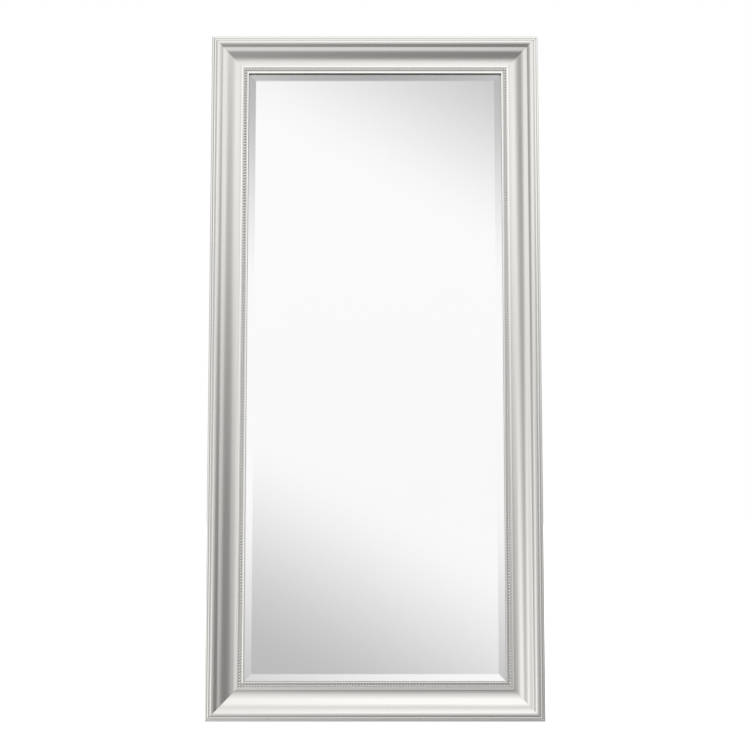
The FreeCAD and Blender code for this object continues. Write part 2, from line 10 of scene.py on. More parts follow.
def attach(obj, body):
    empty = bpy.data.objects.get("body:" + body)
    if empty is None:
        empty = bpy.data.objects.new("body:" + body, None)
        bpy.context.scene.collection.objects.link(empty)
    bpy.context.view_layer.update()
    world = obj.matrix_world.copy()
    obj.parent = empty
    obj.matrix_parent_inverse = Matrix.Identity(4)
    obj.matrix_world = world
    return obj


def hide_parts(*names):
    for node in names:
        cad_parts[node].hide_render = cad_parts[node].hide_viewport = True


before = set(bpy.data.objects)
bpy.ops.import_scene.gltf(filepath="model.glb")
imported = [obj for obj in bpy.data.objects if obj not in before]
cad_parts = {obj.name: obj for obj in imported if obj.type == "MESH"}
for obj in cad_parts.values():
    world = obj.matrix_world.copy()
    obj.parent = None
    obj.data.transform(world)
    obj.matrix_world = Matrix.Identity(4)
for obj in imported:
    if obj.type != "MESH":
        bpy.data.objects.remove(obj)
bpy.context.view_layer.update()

MM = 0.001
WIDTH, HEIGHT = 812.8, 1676.4
BACK = 14.5                      # y of the frame's back plane; a height h in front of it is at BACK - h
RABBET_EDGE, SIGHT_EDGE = 83.0, 92.0      # inward places of the rabbet's side and of the lip's edge
LIP_BACK = 16.704                         # height of the face that the plate seats against
PLATE_PLAY = 1.0                          # gap round the plate in the rabbet

# ---------------------------------------------------------------------------------------------
# Places: every rail is drawn as (along, inward, height) and then laid round the frame
# ---------------------------------------------------------------------------------------------

SIDES = {
    "bottom": ((0, 0), (1, 0), (0, 1), WIDTH),
    "right": ((WIDTH / 2, HEIGHT / 2), (0, 1), (-1, 0), HEIGHT),
    "top": ((0, HEIGHT), (-1, 0), (0, -1), WIDTH),
    "left": ((-WIDTH / 2, HEIGHT / 2), (0, -1), (1, 0), HEIGHT),
}


def placer(side):
    """Gives the function that turns (along, inward, height) in millimetres into a point in metres."""
    (x0, z0), (ax, az), (ix, iz), _ = SIDES[side]

    def place(along, inward, height):
        return Vector(((x0 + ax * along + ix * inward) * MM,
                       (BACK - height) * MM,
                       (z0 + az * along + iz * inward) * MM))
    return place


# ---------------------------------------------------------------------------------------------
# Mesh helpers
# ---------------------------------------------------------------------------------------------

def new_piece(name, body, replaced, materials, build, smooth=35.0):
    """Makes a mesh piece: build(bm, layers) fills it, and it rides on its CAD body."""
    mesh = bpy.data.meshes.new(name)
    bm = bmesh.new()
    layers = {
        "uv": bm.loops.layers.uv.new("UVMap"),
        "recess": bm.verts.layers.float.new("recess"),
        "crest": bm.verts.layers.float.new("crest"),
        "rubbed": bm.verts.layers.float.new("rubbed"),
        "shade": bm.loops.layers.float.new("shade"),
    }
    build(bm, layers)
    bm.normal_update()
    bm.to_mesh(mesh)
    bm.free()
    for material in materials:
        mesh.materials.append(material)
    for polygon in mesh.polygons:
        polygon.use_smooth = True
    mesh.set_sharp_from_angle(angle=math.radians(smooth))
    piece = bpy.data.objects.new(name, mesh)
    bpy.context.scene.collection.objects.link(piece)
    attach(piece, body)
    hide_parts(*replaced)
    return piece


def arc_points(start, end, bulge, step):
    """Points after start along the arc to end. A positive bulge stands forward of the chord."""
    (x0, y0), (x1, y1) = start, end
    chord = math.hypot(x1 - x0, y1 - y0)
    if not bulge:
        count = max(1, round(chord / step))
        return [(x0 + (x1 - x0) * i / count, y0 + (y1 - y0) * i / count) for i in range(1, count + 1)]
    rise = abs(bulge)
    radius = (chord * chord / 4 + rise * rise) / (2 * rise)
    up = Vector((-(y1 - y0), x1 - x0)).normalized()
    if bulge < 0:
        up.negate()
    centre = Vector(((x0 + x1) / 2, (y0 + y1) / 2)) + up * (rise - radius)
    first = math.atan2(y0 - centre.y, x0 - centre.x)
    sweep = 2 * math.asin(min(1.0, chord / 2 / radius))
    if rise > radius:
        sweep = 2 * math.pi - sweep
    turn = -sweep if bulge > 0 else sweep
    count = max(3, round(radius * sweep / step))
    return [(centre.x + radius * math.cos(first + turn * i / count),
             centre.y + radius * math.sin(first + turn * i / count)) for i in range(1, count + 1)]


def revolve(bm, profile, segments, place):
    """Turns (radius, height) points round an axis into a skin; place(x, y, height) gives a point."""
    rings = []
    for radius, height in profile:
        turns = [2 * math.pi * s / segments for s in range(segments)] if radius else [0.0]
        rings.append([bm.verts.new(place(radius * math.cos(t), radius * math.sin(t), height)) for t in turns])
    for near, far in zip(rings, rings[1:]):
        for s in range(segments):
            t = (s + 1) % segments
            if len(near) == 1:
                bm.faces.new((near[0], far[s], far[t]))
            else:
                bm.faces.new((near[s], far[s], far[t], near[t]))
    bm.faces.new(rings[-1][::-1])


def closed_mesh(bm, name):
    """The finished mesh, with its normals outwards."""
    bmesh.ops.recalc_face_normals(bm, faces=bm.faces)
    mesh = bpy.data.meshes.new(name)
    bm.to_mesh(mesh)
    bm.free()
    return mesh


def soft(value):
    """An even rise from 0 to 1 as value goes from 0 to 1, flat at both ends."""
    value = min(1.0, max(0.0, value))
    return value * value * (3 - 2 * value)


def offset_loop(points, distance):
    """The closed outline moved inwards by distance, corner by corner."""
    moved = []
    count = len(points)
    for i, (x, y) in enumerate(points):
        before = Vector((x - points[i - 1][0], y - points[i - 1][1]))
        after = Vector((points[(i + 1) % count][0] - x, points[(i + 1) % count][1] - y))
        before.normalize()
        after.normalize()
        normal = Vector((before.y + after.y, -before.x - after.x))
        if normal.length < 1e-6:
            normal = Vector((before.y, -before.x))
        normal.normalize()
        cosine = max(0.5, normal.dot(Vector((before.y, -before.x))))
        moved.append((x + normal.x * distance / cosine, y + normal.y * distance / cosine))
    return moved


# ---------------------------------------------------------------------------------------------
# The moulding: front members from the outer edge to the sight edge, as (inward, height, bulge)
# ---------------------------------------------------------------------------------------------

SIDE_TOP, ROUND = 29.0, 3.0
LIP_EDGE = 23.1
FRONT = (
    (4.5, 32.0, 0), (5.25, 31.55, 0), (6.0, 32.0, 0), (10.4, 32.8, 0.9), (13.3, 38.7, 0),
    (15.5, 40.0, 0.35), (26.5, 36.8, 1.1), (30.0, 35.2, -0.23), (36.0, 34.0, 0), (46.0, 29.9, 0.52),
    (73.5, 23.8, -2.58),
    (73.5, 24.6, 0), (77.5, 24.6, 0), (77.5, 21.0, 0), (87.9, 21.0, 0), (87.9, 23.2, 0),
    (88.6, 23.8, 0.15), (91.3, 23.9, 0.15), (SIGHT_EDGE, LIP_EDGE, 0.15), (SIGHT_EDGE, LIP_BACK, 0),
)
RABBET = ((RABBET_EDGE, LIP_BACK, 0), (RABBET_EDGE, 0.0, 0), (0.0, 0.0, 0))

# Marks along the moulding, as (inward, spread, strength): the recesses are darkened by glazing and
# painted shade, the crests are lightened as a painted highlight and rubbed places are duller.
RECESSES = ((5.25, 0.5, 0.2), (11.4, 0.7, 0.35), (26.6, 1.0, 0.35), (73.4, 0.7, 0.35))
CREST_HIGHLIGHTS = ((2.5, 2.2, 0.8), (8.2, 2.2, 1.0), (14.8, 1.6, 0.6), (33.4, 2.6, 0.35), (75.5, 2.0, 0.7),
          (82.7, 4.8, 0.9), (89.8, 2.0, 1.0))
RUBBED = ((33.4, 2.4, 1.0),)
# Painted shade on the lip's inner face at the sight edge, given as a recess strength.
SIGHT_EDGE_SHADE = 0.6
MITRE_GAP, MITRE_EDGE = 0.05, 0.18        # half the open joint, and the small chamfer beside it
STEP, FLAT_STEP = 0.55, 12.0              # distance from point to point on the front and on the plain faces
ROUND_STEPS = 8


def moulding_outline():
    """The rail's closed section, and how many of its points show silver."""
    points = [(0.0, 0.0)]
    points += arc_points(points[-1], (0.0, SIDE_TOP), 0, 3.0)
    for i in range(1, ROUND_STEPS + 1):
        turn = math.pi / 2 * i / ROUND_STEPS
        points.append((ROUND - ROUND * math.cos(turn), SIDE_TOP + ROUND * math.sin(turn)))
    for inward, height, bulge in FRONT:
        points += arc_points(points[-1], (inward, height), bulge, STEP)
    silver = len(points)
    for inward, height, bulge in RABBET:
        points += arc_points(points[-1], (inward, height), bulge, FLAT_STEP)
    return points[:-1], silver


def bumps(inward, table):
    """The strength of one table's marks at a place, as the sum of its soft bumps."""
    return min(1.0, sum(strength * math.exp(-((inward - place) / spread) ** 2)
                        for place, spread, strength in table))


def build_rail(side):
    """A mitred rail: its section at both ends, with the mitres' small chamfers, and skins between them."""
    def section(bm, layers, place, loop, along):
        ring = []
        for inward, height in loop:
            vert = bm.verts.new(place(along(inward), inward, height))
            # The lip's inner face gets painted shade and no painted highlight; elsewhere the tables give glazing
            # with painted shade, and painted highlights.
            sight_edge = inward > SIGHT_EDGE - 0.4 and height < LIP_EDGE - 0.5
            vert[layers["recess"]] = SIGHT_EDGE_SHADE if sight_edge else bumps(inward, RECESSES)
            vert[layers["crest"]] = 0.0 if sight_edge else bumps(inward, CREST_HIGHLIGHTS)
            vert[layers["rubbed"]] = bumps(inward, RUBBED)
            ring.append(vert)
        return ring

    def build(bm, layers):
        place = placer(side)
        half = SIDES[side][3] / 2
        outline, silver = moulding_outline()
        inner = offset_loop(outline, MITRE_EDGE)
        rings = []
        for end in (-1, 1):
            for loop, gap in ((inner, MITRE_GAP), (outline, MITRE_GAP + MITRE_EDGE)):
                rings.append(section(bm, layers, place, loop, lambda inward: end * (half - inward - gap)))
        rings[2], rings[3] = rings[3], rings[2]
        run = [0.0]
        for (x0, y0), (x1, y1) in zip(outline, outline[1:] + outline[:1]):
            run.append(run[-1] + math.hypot(x1 - x0, y1 - y0))
        count = len(outline)
        for near, far in zip(rings, rings[1:]):
            for i in range(count):
                j = (i + 1) % count
                face = bm.faces.new((near[i], far[i], far[j], near[j]))
                face.material_index = 0 if i < silver - 1 else 1
                for loop, (vert, s) in zip(face.loops, ((near[i], run[i]), (far[i], run[i]),
                                                        (far[j], run[i + 1]), (near[j], run[i + 1]))):
                    along = vert.co.x if side in ("top", "bottom") else vert.co.z
                    loop[layers["uv"]].uv = (along, s * MM)
        for cap in (rings[0][::-1], rings[-1]):
            face = bm.faces.new(cap)
            face.material_index = 1
            for loop in face.loops:
                loop[layers["uv"]].uv = (loop.vert.co.y, loop.vert.co.x)
            face.normal_update()
            bmesh.ops.triangulate(bm, faces=[face])
    return build


# ---------------------------------------------------------------------------------------------
# Beading
# ---------------------------------------------------------------------------------------------

STRIP_MIDDLE, STRIP_WIDTH = 82.7, 10.2
CHANNEL_FLOOR, STRIP_TOP = 21.0, 22.0
BEAD_PITCH, BEAD_HEIGHT = 7.03, 3.2
BEAD_ALONG, BEAD_ACROSS = 3.2, 3.2
BEAD_SEGMENTS, BEAD_RINGS = 20, 7
BEAD_START, BEAD_WAIST = -12.0, 0.2       # angle of a bead's lowest ring, and how far it is drawn in there
BEAD_GLAZE_AND_SHADE, BEAD_HIGHLIGHT = 0.4, 0.8         # glazing with painted shade at a bead's foot, and a painted highlight at its crown
STRIP_EDGE = 0.25                         # chamfer along the strip
SEAT_HALF, SEAT_FLOOR_HALF, SEAT_DEPTH = 3.3, 2.9, 0.2     # the shallow seat under the beads
# The seat under the beads and the strip's margins: glazing with painted shade, and a painted highlight.
SEAT_GLAZE_AND_SHADE, SEAT_HIGHLIGHT = 0.45, 0.1
MARGIN_GLAZE_AND_SHADE, MARGIN_HIGHLIGHT = 0.15, 0.4    # the strip's flat margins


def strip_outline():
    low, high = STRIP_MIDDLE - STRIP_WIDTH / 2, STRIP_MIDDLE + STRIP_WIDTH / 2
    floor_level = STRIP_TOP - SEAT_DEPTH
    return [(low, CHANNEL_FLOOR), (low, STRIP_TOP - STRIP_EDGE), (low + STRIP_EDGE, STRIP_TOP),
            (STRIP_MIDDLE - SEAT_HALF, STRIP_TOP), (STRIP_MIDDLE - SEAT_FLOOR_HALF, floor_level),
            (STRIP_MIDDLE + SEAT_FLOOR_HALF, floor_level), (STRIP_MIDDLE + SEAT_HALF, STRIP_TOP),
            (high - STRIP_EDGE, STRIP_TOP), (high, STRIP_TOP - STRIP_EDGE), (high, CHANNEL_FLOOR)]


def add_bead(bm, layers, place, along):
    """A pearl, round at its crown and drawn in a little where it meets the strip."""
    rings = []
    for r in range(BEAD_RINGS):
        angle = math.radians(BEAD_START + (90 - BEAD_START) * r / BEAD_RINGS)
        across, height = math.cos(angle), math.sin(angle)
        rise = max(0.0, (height + BEAD_WAIST) / (1 + BEAD_WAIST))
        level = STRIP_TOP - SEAT_DEPTH + (BEAD_HEIGHT + SEAT_DEPTH) * rise
        ring = []
        for s in range(BEAD_SEGMENTS):
            turn = 2 * math.pi * s / BEAD_SEGMENTS
            vert = bm.verts.new(place(along + BEAD_ALONG * across * math.cos(turn),
                                      STRIP_MIDDLE + BEAD_ACROSS * across * math.sin(turn), level))
            # Glazing with painted shade darkens a bead's lower rings; a painted highlight lightens its upper
            # rings and crown.
            vert[layers["recess"]] = BEAD_GLAZE_AND_SHADE * soft((5 - r) / 3)
            vert[layers["crest"]] = BEAD_HIGHLIGHT * soft((r - 1) / 5)
            ring.append(vert)
        rings.append(ring)
    crown = bm.verts.new(place(along, STRIP_MIDDLE, STRIP_TOP + BEAD_HEIGHT))
    crown[layers["crest"]] = BEAD_HIGHLIGHT
    faces = [bm.faces.new(rings[0][::-1])]
    for near, far in zip(rings, rings[1:]):
        for s in range(BEAD_SEGMENTS):
            t = (s + 1) % BEAD_SEGMENTS
            faces.append(bm.faces.new((near[s], near[t], far[t], far[s])))
    for s in range(BEAD_SEGMENTS):
        faces.append(bm.faces.new((rings[-1][s], rings[-1][(s + 1) % BEAD_SEGMENTS], crown)))
    for face in faces:
        for loop in face.loops:
            loop[layers["uv"]].uv = (loop.vert.co.x + loop.vert.co.y, loop.vert.co.z)


def build_beads(side):
    def build(bm, layers):
        place = placer(side)
        length = SIDES[side][3]
        outline = strip_outline()
        count = len(outline)
        ends = []
        for end in (-1, 1):
            ring = []
            for inward, height in outline:
                vert = bm.verts.new(place(end * (length / 2 - inward - MITRE_GAP), inward, height))
                # The seat under the beads gets more painted shade than the margins; the margins get more painted
                # highlight.
                under_beads = abs(inward - STRIP_MIDDLE) < SEAT_HALF - 0.1
                vert[layers["recess"]] = SEAT_GLAZE_AND_SHADE if under_beads else MARGIN_GLAZE_AND_SHADE
                vert[layers["crest"]] = SEAT_HIGHLIGHT if under_beads else MARGIN_HIGHLIGHT
                ring.append(vert)
            ends.append(ring)
        near, far = ends
        for i in range(count):
            j = (i + 1) % count
            face = bm.faces.new((near[i], far[i], far[j], near[j]))
            for loop in face.loops:
                along = loop.vert.co.x if side in ("top", "bottom") else loop.vert.co.z
                loop[layers["uv"]].uv = (along, loop.vert.co.y)
        bm.faces.new(near[::-1])
        bm.faces.new(far)
        run = length - 2 * STRIP_MIDDLE
        beads = round(run / BEAD_PITCH)
        pitch = run / beads
        first = 0 if side in ("top", "bottom") else 1      # the corner beads belong to the top and the bottom
        for i in range(first, beads + 1 - first):
            add_bead(bm, layers, place, -run / 2 + i * pitch)
    return build


# ---------------------------------------------------------------------------------------------
# The plate: clear glass over a silvered back, with a wide bevel
# ---------------------------------------------------------------------------------------------

GLASS_INSET = RABBET_EDGE + PLATE_PLAY
GLASS_X, GLASS_LOW, GLASS_HIGH = WIDTH / 2 - GLASS_INSET, GLASS_INSET, HEIGHT - GLASS_INSET
GLASS_FRONT, GLASS_BACK = -3.5, 1.45      # y; the back stays a little clear of the card
BEVEL_WIDTH, BEVEL_DROP = 25.0, 2.2
BEVEL_ARRIS, BACK_ARRIS, RIM_ARRIS = 0.35, 0.3, 0.2
BEVEL_PIECES = 24                         # lengths that each side of the bevel is divided into for its shade

# Painted shade in the bevel's glass: grey along the top, and turning grey up the sides.
TOP_SHADED_LEVEL, TOP_SHADED_LEVEL_GAIN = 0.42, 0.15
SIDE_SHADE_LOSS, SIDE_SHADE_FROM, SIDE_SHADE_RUN = 0.38, 0.63, 0.32


def bevel_shade(side, x, z):
    """The painted shade of the bevel's glass at a point of one side: 1 leaves it clear, less darkens it."""
    if side == "top":
        return TOP_SHADED_LEVEL + TOP_SHADED_LEVEL_GAIN * (x / GLASS_X) ** 2
    if side in ("left", "right"):
        high = (z - GLASS_LOW) / (GLASS_HIGH - GLASS_LOW)
        return 1 - SIDE_SHADE_LOSS * soft((high - SIDE_SHADE_FROM) / SIDE_SHADE_RUN)
    return 1.0


def build_plate(bm, layers):
    slope = BEVEL_DROP / BEVEL_WIDTH
    rim = ((BACK_ARRIS, GLASS_BACK), (0, GLASS_BACK - BACK_ARRIS), (0, GLASS_FRONT + BEVEL_DROP + RIM_ARRIS))
    bevel = ((BEVEL_ARRIS, GLASS_FRONT + BEVEL_DROP - BEVEL_ARRIS * slope),
             (BEVEL_WIDTH - BEVEL_ARRIS, GLASS_FRONT + BEVEL_ARRIS * slope), (BEVEL_WIDTH, GLASS_FRONT))
    loops = []
    for inset, y in rim + bevel:
        corners = ((-GLASS_X + inset, GLASS_LOW + inset), (GLASS_X - inset, GLASS_LOW + inset),
                   (GLASS_X - inset, GLASS_HIGH - inset), (-GLASS_X + inset, GLASS_HIGH - inset))
        loop = []
        for (x0, z0), (x1, z1) in zip(corners, corners[1:] + corners[:1]):
            for piece in range(BEVEL_PIECES):
                share = piece / BEVEL_PIECES
                x, z = x0 + (x1 - x0) * share, z0 + (z1 - z0) * share
                loop.append(bm.verts.new((x * MM, y * MM, z * MM)))
        loops.append(loop)
    count = len(loops[0])
    sides = tuple(SIDES)
    for level, (near, far) in enumerate(zip(loops, loops[1:])):
        for i in range(count):
            j = (i + 1) % count
            face = bm.faces.new((near[i], near[j], far[j], far[i]))
            for loop in face.loops:
                x, z = loop.vert.co.x / MM, loop.vert.co.z / MM
                on_rim = level < len(rim)
                loop[layers["shade"]] = 1.0 if on_rim else bevel_shade(sides[i // BEVEL_PIECES], x, z)
    front = bm.faces.new(loops[-1])
    for loop in front.loops:
        loop[layers["shade"]] = 1.0
    back = bm.faces.new(loops[0][::-1])
    back.material_index = 1
    for face in bm.faces:
        for loop in face.loops:
            loop[layers["uv"]].uv = (loop.vert.co.x, loop.vert.co.z)


# ---------------------------------------------------------------------------------------------
# Screws, rings and bumpers
# ---------------------------------------------------------------------------------------------

HEAD = ((0.0, 2.0), (1.0, 1.97), (1.9, 1.86), (2.6, 1.62), (3.1, 1.22), (3.4, 0.72), (3.5, 0.3), (3.5, 0.1),
        (3.4, 0.0))
SHANK = ((1.75, 0.0), (1.75, -9.0), (1.3, -11.5), (0.5, -14.0))
SCREW_SEGMENTS = 40
CROSS_ARM, CROSS_HALF, CROSS_DEPTH = 1.95, 0.42, 1.25      # the screwdriver's cross: reach, half width, depth
CROSS_TOP, CROSS_MOUTH = 2.6, 1.15        # the cutter's upper end, over the head, and how wide it is there
CROSS_TIP = (0.62, 0.8)                   # how wide its lower end is on each axis
ARM_TAPER = 0.8                           # an arm's width at its end against its root


def cross_cutter():
    """The tapered cross that is cut out of a screw's head."""
    bm = bmesh.new()
    end = CROSS_HALF * ARM_TAPER
    corners = ((CROSS_ARM, -end), (CROSS_ARM, end), (CROSS_HALF, CROSS_HALF))
    outline = []
    for quarter in range(4):
        turn = Matrix.Rotation(quarter * math.pi / 2, 2)
        outline += [turn @ Vector(corner) for corner in corners]

    def ring(wide_x, wide_y, height):
        return [bm.verts.new((p.x * wide_x * MM, p.y * wide_y * MM, height * MM)) for p in outline]

    top = ring(CROSS_MOUTH, CROSS_MOUTH, CROSS_TOP)
    low = ring(*CROSS_TIP, HEAD[0][1] - CROSS_DEPTH)
    bm.faces.new(top)
    bm.faces.new(low[::-1])
    for i in range(len(outline)):
        j = (i + 1) % len(outline)
        bm.faces.new((low[i], low[j], top[j], top[i]))
    return bm


def screw_mesh():
    """One pan-headed screw along +Z, its head's underside at 0, with a cross recess."""
    bm = bmesh.new()
    revolve(bm, HEAD + SHANK, SCREW_SEGMENTS, lambda x, y, height: (x * MM, y * MM, height * MM))
    blank = bpy.data.objects.new("screw_blank", closed_mesh(bm, "screw_blank"))
    cutter = bpy.data.objects.new("screw_cross", closed_mesh(cross_cutter(), "screw_cross"))
    for item in (blank, cutter):
        bpy.context.scene.collection.objects.link(item)
    cut = blank.modifiers.new("Cross", "BOOLEAN")
    cut.object, cut.operation, cut.solver = cutter, "DIFFERENCE", "EXACT"
    bpy.context.view_layer.update()
    made = bpy.data.meshes.new_from_object(blank.evaluated_get(bpy.context.evaluated_depsgraph_get()))
    bpy.data.objects.remove(blank)
    bpy.data.objects.remove(cutter)
    return made


SCREW = screw_mesh()
OUT_OF_BACK = Matrix.Rotation(math.radians(-90), 4, "X")     # +Z turns to +Y, out of the frame's back
FIRST_TURN, TURN_BETWEEN = 11, 37         # degrees; no two neighbouring screws stand alike


def build_screws(places, face):
    """Copies of the screw at (x, z), their heads on the plate whose outer face is at y = face."""
    def build(bm, layers):
        for index, (x, z) in enumerate(places):
            turn = Matrix.Rotation(math.radians(TURN_BETWEEN * index + FIRST_TURN), 4, "Z")
            copy = SCREW.copy()
            copy.transform(Matrix.Translation((x * MM, face * MM, z * MM)) @ OUT_OF_BACK @ turn)
            bm.from_mesh(copy)
            bpy.data.meshes.remove(copy)
    return build


RING_HALF, RING_LEG, RING_BEND, WIRE = 12.0, 7.0, 2.5, 1.48
WIRE_SEGMENTS, BOW_STEPS, BEND_STEPS = 16, 28, 6


def ring_path():
    """The middle line of a D-ring's wire as (across, down): bar, bend, bow and bend."""
    foot = RING_HALF - RING_BEND
    bends = [math.pi / 2 * i / BEND_STEPS for i in range(BEND_STEPS + 1)]
    path = [(-foot, 0.0), (0.0, 0.0), (foot, 0.0)]
    path += [(foot + RING_BEND * math.sin(a), RING_BEND - RING_BEND * math.cos(a)) for a in bends[1:]]
    path += [(RING_HALF * math.cos(a), RING_LEG + RING_HALF * math.sin(a))
             for a in (math.pi * i / BOW_STEPS for i in range(BOW_STEPS + 1))]
    path += [(-foot - RING_BEND * math.cos(a), RING_BEND - RING_BEND * math.sin(a)) for a in bends[:-1]]
    return path


def build_ring(centre, axis, hang):
    """A D-ring of round wire in the plane of axis and hang."""
    def build(bm, layers):
        path = ring_path()
        normal = axis.cross(hang)
        rings = []
        count = len(path)
        for i, (a, h) in enumerate(path):
            before, after = path[i - 1], path[(i + 1) % count]
            way = (axis * (after[0] - before[0]) + hang * (after[1] - before[1])).normalized()
            side = normal.cross(way).normalized()
            middle = centre + (axis * a + hang * h) * MM
            rings.append([bm.verts.new(middle + (side * math.cos(t) + normal * math.sin(t)) * WIRE * MM)
                          for t in (2 * math.pi * s / WIRE_SEGMENTS for s in range(WIRE_SEGMENTS))])
        for i in range(count):
            near, far = rings[i], rings[(i + 1) % count]
            for s in range(WIRE_SEGMENTS):
                t = (s + 1) % WIRE_SEGMENTS
                bm.faces.new((near[s], near[t], far[t], far[s]))
        bmesh.ops.recalc_face_normals(bm, faces=bm.faces)
    return build


BUMPER_INSET, BUMPER_RADIUS, BUMPER_HEIGHT, BUMPER_SEGMENTS = 13.0, 8.0, 8.0, 48
BUMPER_ROUND, BUMPER_FLAT = 1.7, 6.3      # radius of the rounded rim, and where it starts
BUMPER_ROUND_STEPS = 6
PARTING_DEPTH = 0.12


def bumper_profile():
    """Half a pad's section as (radius, height): a shallow dish, a rounded rim and a parting line."""
    profile = [(0.0, BUMPER_HEIGHT - 0.45), (3.2, BUMPER_HEIGHT - 0.4), (4.6, BUMPER_HEIGHT - 0.12),
               (5.4, BUMPER_HEIGHT), (BUMPER_FLAT, BUMPER_HEIGHT)]
    for i in range(1, BUMPER_ROUND_STEPS + 1):
        turn = math.pi / 2 * i / BUMPER_ROUND_STEPS
        profile.append((BUMPER_FLAT + BUMPER_ROUND * math.sin(turn),
                        BUMPER_HEIGHT - BUMPER_ROUND + BUMPER_ROUND * math.cos(turn)))
    groove = BUMPER_RADIUS - PARTING_DEPTH
    profile += [(BUMPER_RADIUS, 1.2), (groove, 1.05), (groove, 0.9), (BUMPER_RADIUS, 0.75), (BUMPER_RADIUS, 0.0)]
    return profile


def build_bumpers(bm, layers):
    """Four moulded rubber pads at the back corners."""
    for x in (-WIDTH / 2 + BUMPER_INSET, WIDTH / 2 - BUMPER_INSET):
        for z in (BUMPER_INSET, HEIGHT - BUMPER_INSET):
            revolve(bm, bumper_profile(), BUMPER_SEGMENTS,
                    lambda a, b, height: ((x + a) * MM, (BACK + height) * MM, (z + b) * MM))
    bmesh.ops.recalc_face_normals(bm, faces=bm.faces)


# ---------------------------------------------------------------------------------------------
# Materials
# ---------------------------------------------------------------------------------------------


class Tree:
    """A node tree with short ways to add nodes and to join them."""

    def __init__(self, tree):
        self.tree = tree

    def add(self, kind, **values):
        node = self.tree.nodes.new(kind)
        for key, value in values.items():
            setattr(node, key, value)
        return node

    def link(self, source, target):
        self.tree.links.new(source, target)

    def feed(self, sockets, values):
        """Gives each socket its number, its colour or the output that feeds it."""
        for socket, value in zip(sockets, values):
            if isinstance(value, (int, float)):
                socket.default_value = value
            elif isinstance(value, tuple):
                socket.default_value = (*value, 1)
            else:
                self.link(value, socket)

    def math(self, operation, *values):
        node = self.add("ShaderNodeMath", operation=operation)
        self.feed(node.inputs, values)
        return node.outputs[0]

    def ramp(self, value, low, high, to_low=0.0, to_high=1.0, shape="LINEAR"):
        node = self.add("ShaderNodeMapRange", interpolation_type=shape)
        sockets = [node.inputs[name] for name in ("Value", "From Min", "From Max", "To Min", "To Max")]
        self.feed(sockets, (value, low, high, to_low, to_high))
        return node.outputs[0]

    def mix(self, factor, first, second):
        """first where the factor is 0, second where it is 1."""
        node = self.add("ShaderNodeMix", data_type="RGBA")
        self.feed((node.inputs[0], node.inputs[6], node.inputs[7]), (factor, first, second))
        return node.outputs[2]


class Surface(Tree):
    """A material: a principled shader and what feeds it."""

    def __init__(self, name):
        self.material = bpy.data.materials.new(name)
        self.material.use_nodes = True
        super().__init__(self.material.node_tree)
        self.tree.nodes.clear()
        self.out = self.add("ShaderNodeOutputMaterial")
        self.shader = self.add("ShaderNodeBsdfPrincipled")
        self.link(self.shader.outputs[0], self.out.inputs[0])

    def set(self, **values):
        for key, value in values.items():
            self.shader.inputs[key.replace("_", " ")].default_value = value

    def scaled(self, kind, scale):
        """Texture coordinates of one kind, stretched by scale."""
        where = self.add("ShaderNodeTexCoord")
        mapping = self.add("ShaderNodeMapping")
        mapping.inputs["Scale"].default_value = scale
        self.link(where.outputs[kind], mapping.inputs["Vector"])
        return mapping.outputs[0]

    def noise(self, vector, scale=1.0, detail=3.0, roughness=0.5):
        node = self.add("ShaderNodeTexNoise")
        node.inputs["Scale"].default_value = scale
        node.inputs["Detail"].default_value = detail
        node.inputs["Roughness"].default_value = roughness
        self.link(vector, node.inputs["Vector"])
        return node.outputs["Fac"]

    def attribute(self, name):
        return self.add("ShaderNodeAttribute", attribute_name=name).outputs["Fac"]

    def bump(self, height, strength, distance):
        node = self.add("ShaderNodeBump")
        node.inputs["Strength"].default_value = strength
        node.inputs["Distance"].default_value = distance
        self.link(height, node.inputs["Height"])
        self.link(node.outputs[0], self.shader.inputs["Normal"])

    def colour(self, value):
        self.link(value, self.shader.inputs["Base Color"])

    def roughness(self, value):
        self.link(value, self.shader.inputs["Roughness"])


def silver(name, streaks):
    """Satin silver leaf: rubbed lengthwise, darker in the recesses by glazing and painted shade, and lighter
    on the crests as a painted highlight.
    """
    look = Surface(name)
    look.set(Metallic=1.0)
    long_noise = look.noise(look.scaled("UV", (3.0, 420.0, 1.0)), 1.0, 4.0, 0.6)
    fine_noise = look.noise(look.scaled("UV", (26.0, 2600.0, 1.0)), 1.0, 2.0, 0.5)
    cloud = look.noise(look.scaled("Object", (1, 1, 1)), 14.0, 3.0, 0.5)
    speck = look.noise(look.scaled("Object", (1, 1, 1)), 1500.0, 2.0, 0.6)
    streak = look.math("MULTIPLY", fine_noise, 0.35)
    streak = look.math("MULTIPLY_ADD", long_noise, 0.65, streak)
    tone = look.mix(look.ramp(streak, 0.32, 0.68), (0.655, 0.642, 0.612), (0.735, 0.727, 0.705))
    tone = look.mix(look.ramp(cloud, 0.35, 0.7, 0.0, 0.25), tone, (0.70, 0.676, 0.632))
    # Painted highlight: the crests are lightened towards near white.
    tone = look.mix(look.math("MULTIPLY", look.attribute("crest"), 0.8), tone, (0.93, 0.925, 0.91))
    # Glazing with painted shade: the recess attribute darkens the hollows towards a dark grey.
    glaze_and_shade = look.math("MULTIPLY", look.attribute("recess"), look.ramp(speck, 0.3, 0.7, 0.45, 0.8))
    tone = look.mix(glaze_and_shade, tone, (0.34, 0.325, 0.295))
    look.colour(tone)
    rough = look.ramp(streak, 0.3, 0.7, 0.18, 0.25)
    rough = look.math("ADD", rough, look.math("MULTIPLY", look.attribute("recess"), 0.16))
    rough = look.math("ADD", rough, look.math("MULTIPLY", look.attribute("rubbed"), 0.2))
    look.roughness(look.math("SUBTRACT", rough, look.math("MULTIPLY", look.attribute("crest"), 0.04)))
    relief = look.math("MULTIPLY", speck, 0.25)
    look.bump(look.math("MULTIPLY_ADD", streak, streaks, relief), 0.22, 0.12 * MM)
    return look.material


